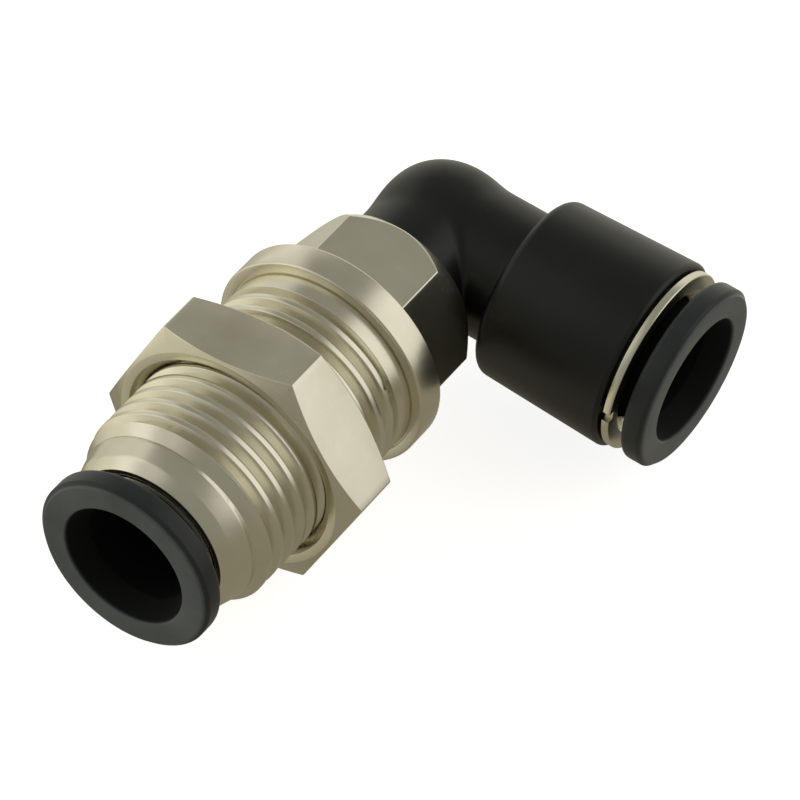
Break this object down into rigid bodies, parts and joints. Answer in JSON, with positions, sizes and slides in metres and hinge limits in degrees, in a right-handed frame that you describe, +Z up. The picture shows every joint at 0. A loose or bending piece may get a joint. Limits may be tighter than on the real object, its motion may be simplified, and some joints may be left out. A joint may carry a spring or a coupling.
{
  "type": "push to connect fitting",
  "caption": "Bulkhead elbow push-to-connect fitting: threaded nickel-plated body with lock nut, swivelling plastic elbow and sprung release rings.",
  "frame": {"origin": "on the bulkhead body's axis, in the plane of the flange face that seats on the panel", "axes": "-Y along the bulkhead axis towards port A, +X along the elbow's arm towards port B, +Z up"},
  "size_m": [0.0416, 0.0594, 0.0256],
  "materials": {
    "nickel_plated_brass": "bright nickel plating with a warm cast",
    "elbow_plastic": "moulded black plastic with a soft sheen",
    "sleeve_plastic": "moulded dark grey acetal",
    "spring_steel": "bright stainless strip",
    "seal_rubber": "matt black nitrile",
    "white_plastic": "natural acetal"
  },
  "bodies": {
    "bulkhead": {"bulkhead_body": "nickel_plated_brass", "swivel_snap_ring": "spring_steel", "swivel_o_ring": "seal_rubber", "guide_ring_a": "nickel_plated_brass", "claw_ring_a": "spring_steel", "claw_seat_a": "white_plastic", "tube_seal_a": "seal_rubber", "seal_backup_a": "white_plastic"},
    "nut": {"lock_nut": "nickel_plated_brass"},
    "elbow": {"elbow_body": "elbow_plastic", "guide_ring_b": "nickel_plated_brass", "claw_ring_b": "spring_steel", "claw_seat_b": "white_plastic", "tube_seal_b": "seal_rubber", "seal_backup_b": "white_plastic"},
    "sleeve_a": {"release_sleeve_a": "sleeve_plastic"},
    "sleeve_b": {"release_sleeve_b": "sleeve_plastic"}
  },
  "joints": [
    {"name": "elbow_swivel", "type": "hinge", "parent": "bulkhead", "child": "elbow", "pos_m": [0, 0.01975, 0], "axis": [0, 1, 0], "continuous": true},
    {"name": "nut_travel", "type": "slide", "parent": "bulkhead", "child": "nut", "axis": [0, 1, 0], "range_m": [-0.0075, 0.0075]},
    {"name": "sleeve_a_press", "type": "slide", "parent": "bulkhead", "child": "sleeve_a", "axis": [0, 1, 0], "range_m": [0, 0.0012], "stiffness_N_per_m": 4000, "springref_m": -0.0005},
    {"name": "sleeve_b_press", "type": "slide", "parent": "elbow", "child": "sleeve_b", "axis": [-1, 0, 0], "range_m": [0, 0.0012], "stiffness_N_per_m": 4000, "springref_m": -0.0005}
  ]
}
